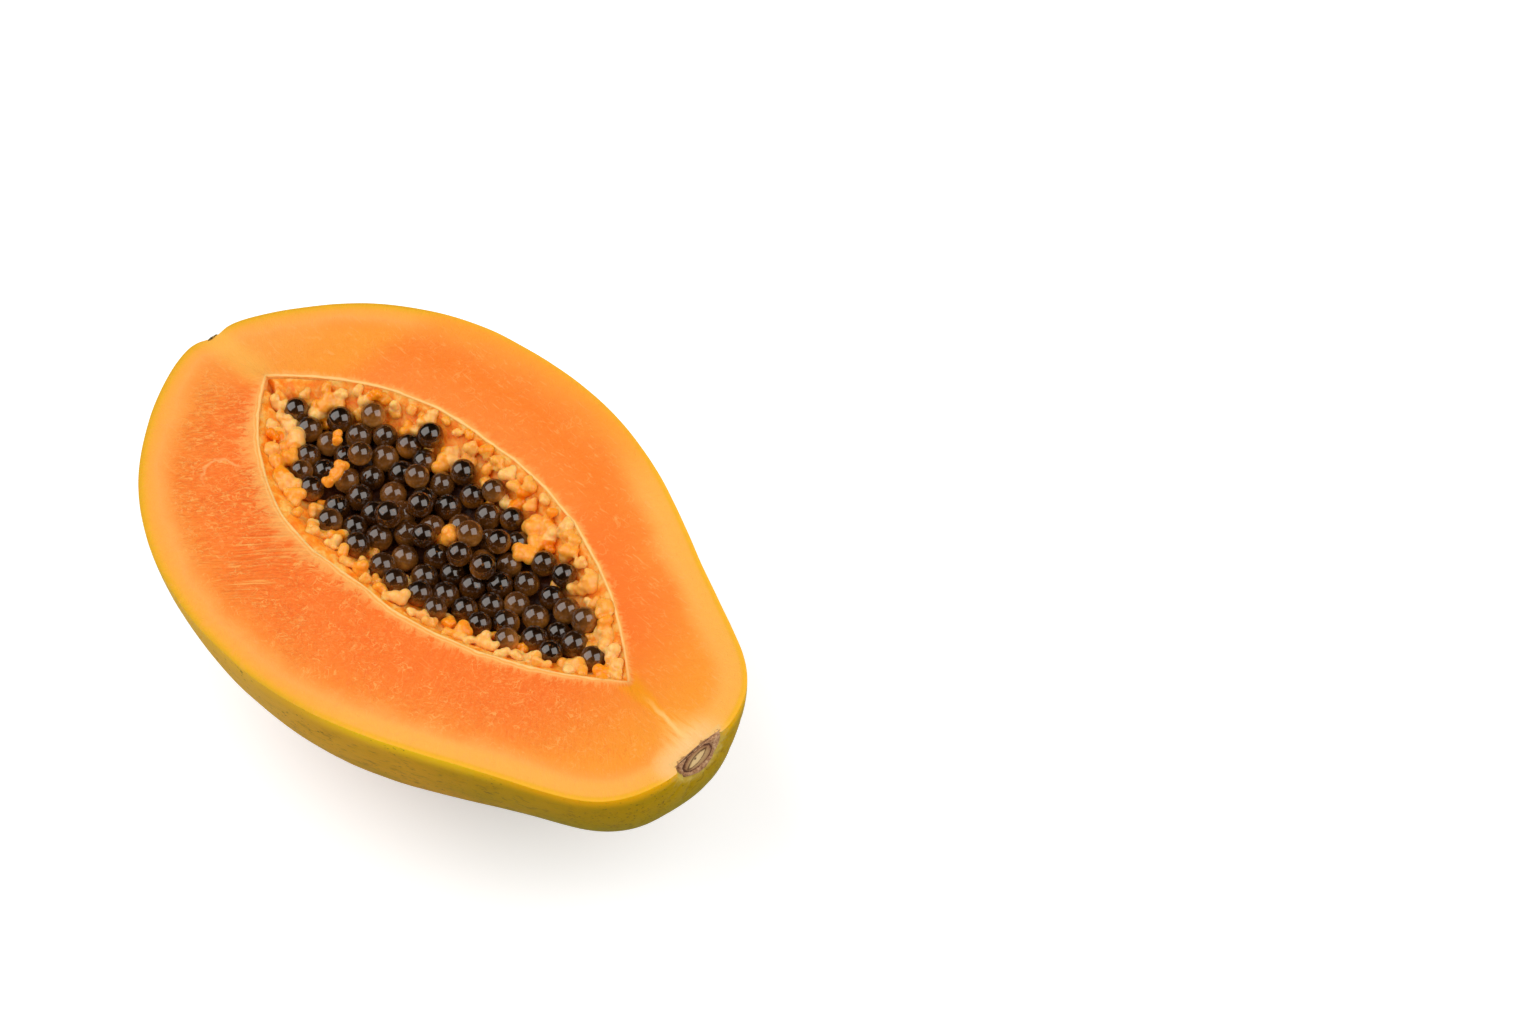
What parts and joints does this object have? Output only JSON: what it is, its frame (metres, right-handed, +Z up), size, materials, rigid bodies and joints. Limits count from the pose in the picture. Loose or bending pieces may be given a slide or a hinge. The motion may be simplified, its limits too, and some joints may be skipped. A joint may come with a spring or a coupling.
{
  "type": "papaya half",
  "caption": "Lengthwise half of a ripe papaya lying cut face up, with orange flesh, a hollow full of seeds in pulp, and a cork stem scar.",
  "frame": {"origin": "bottom centre of the bounding box, level with the flat spot that the half rests on", "axes": "+X from the blossom end to the stem end along the fruit, +Y across the cut face, +Z up out of the cut face"},
  "size_m": [0.1641, 0.1024, 0.058],
  "materials": {
    "flesh": "moist orange flesh under a thin yellow and green skin",
    "seeds": "glossy dark brown seeds in knobbly yellow orange pulp",
    "cork": "dry matt brown cork"
  },
  "bodies": {
    "root": {"papaya_flesh": "flesh", "seed_bed": "seeds", "stem_scar": "cork"}
  },
  "joints": []
}
